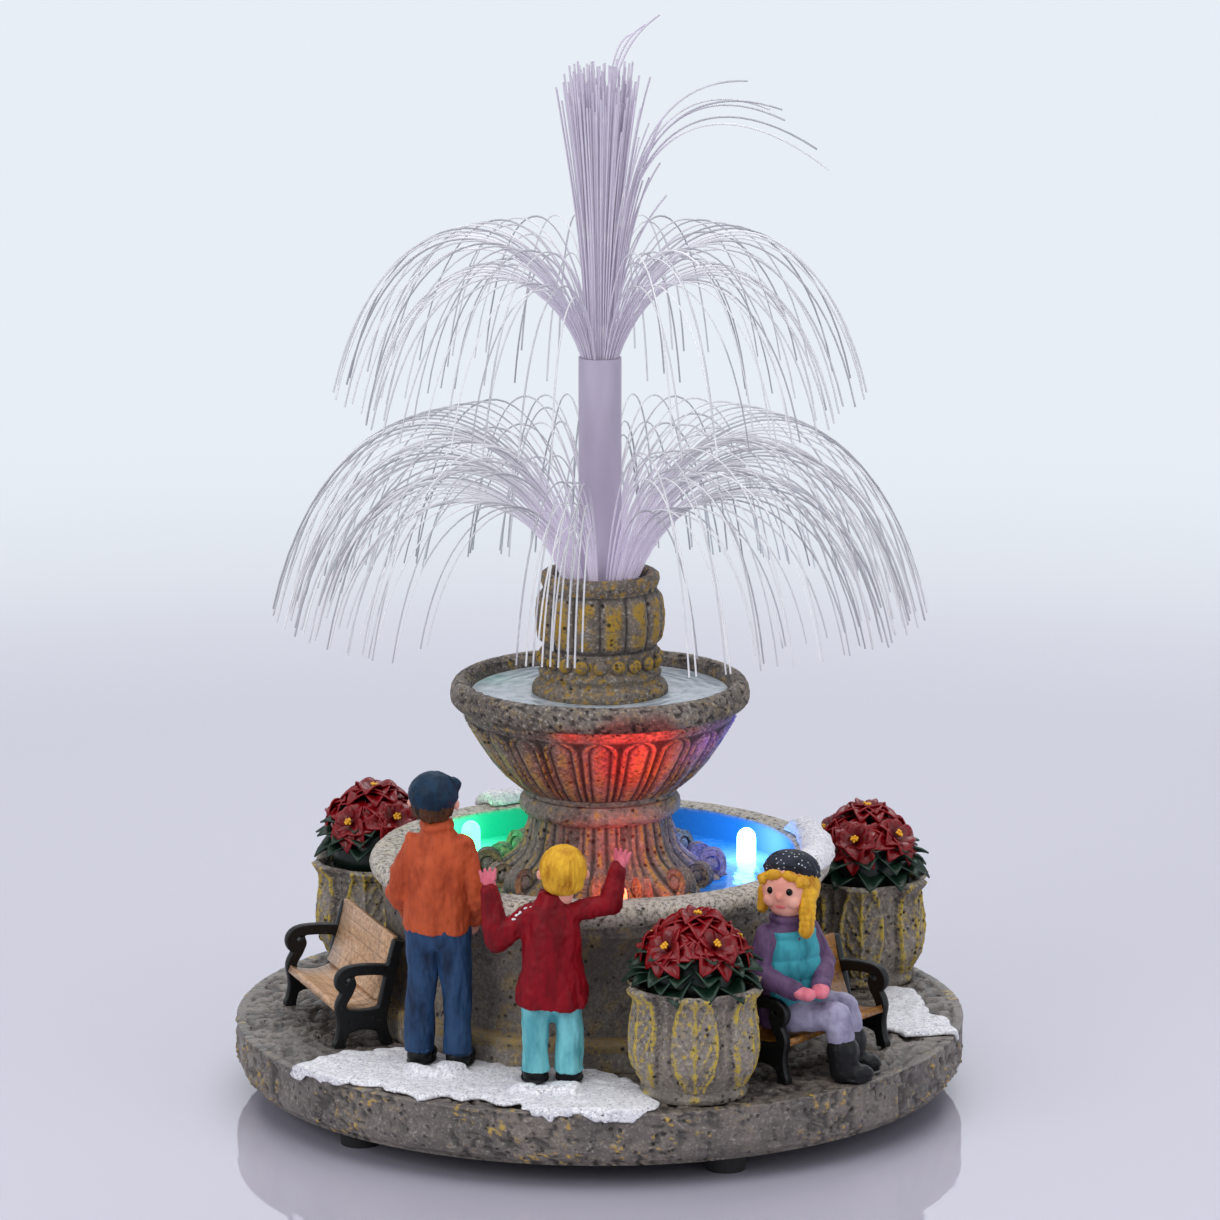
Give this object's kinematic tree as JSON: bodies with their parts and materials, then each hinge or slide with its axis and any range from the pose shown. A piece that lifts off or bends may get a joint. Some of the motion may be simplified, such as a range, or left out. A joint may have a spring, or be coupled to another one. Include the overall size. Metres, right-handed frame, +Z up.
{
  "type": "led fountain lamp",
  "caption": "Battery-lit tabletop fountain ornament: round stone-look pool, bowl and vase with sprays of clear light fibres, benches, planters and winter figures on a slab.",
  "frame": {"origin": "on the table, under the fountain's axis, level with the soles of the rubber feet", "axes": "+Z up along the fountain's axis, -Y towards the front where the figures stand"},
  "size_m": [0.19, 0.19, 0.2802],
  "materials": {
    "stone": "matte",
    "slate": "matte",
    "water_resin": "gloss",
    "rubber": "matte",
    "black_plastic": "matte",
    "switch_plastic": "satin",
    "cell_jacket": "gloss",
    "steel": "satin",
    "board": "satin",
    "lead": "satin",
    "blue_lamp": "gloss",
    "green_lamp": "gloss",
    "red_lamp": "gloss",
    "clear_lamp": "gloss",
    "white_plastic": "satin",
    "fibre": "gloss",
    "bench_metal": "satin",
    "bench_wood": "satin",
    "painted_resin": "satin",
    "flowers": "satin",
    "snow": "matte"
  },
  "bodies": {
    "fountain": {"ground_slab": "slate", "rubber_feet": "rubber", "bottom_cover": "black_plastic", "cover_screws": "steel", "batteries": "cell_jacket", "battery_springs": "steel", "battery_contacts": "steel", "circuit_board": "board", "switch_body": "switch_plastic", "wiring": "lead", "pool_wall": "stone", "pool_water": "water_resin", "blue_lamp": "blue_lamp", "green_lamp": "green_lamp", "red_lamp": "red_lamp", "pedestal": "stone", "bowl": "stone", "bowl_water": "water_resin", "vase": "stone", "lamp_holder": "white_plastic", "fibre_lamp": "clear_lamp", "fibre_ferrule": "white_plastic", "stem_sleeve": "white_plastic", "lower_spray": "fibre", "upper_spray": "fibre", "top_tuft": "fibre", "left_bench_ends": "bench_metal", "left_bench_seat": "bench_wood", "left_bench_back": "bench_wood", "right_bench_ends": "bench_metal", "right_bench_seat": "bench_wood", "right_bench_back": "bench_wood", "adult_figure": "painted_resin", "child_figure": "painted_resin", "seated_figure": "painted_resin", "left_planter": "stone", "front_planter": "stone", "right_planter": "stone", "left_flowers": "flowers", "front_flowers": "flowers", "right_flowers": "flowers", "front_snow": "snow", "right_snow": "snow", "rim_snow": "snow"},
    "door": {"battery_door": "black_plastic"},
    "slider": {"switch_slider": "switch_plastic"}
  },
  "joints": [
    {"name": "battery_door_hinge", "type": "hinge", "parent": "fountain", "child": "door", "pos_m": [0, -0.032, 0.0078], "axis": [-1, 0, 0], "range_deg": [0, 90]},
    {"name": "switch_slide", "type": "slide", "parent": "fountain", "child": "slider", "axis": [0, 1, 0], "range_m": [-0.004, 0]}
  ]
}
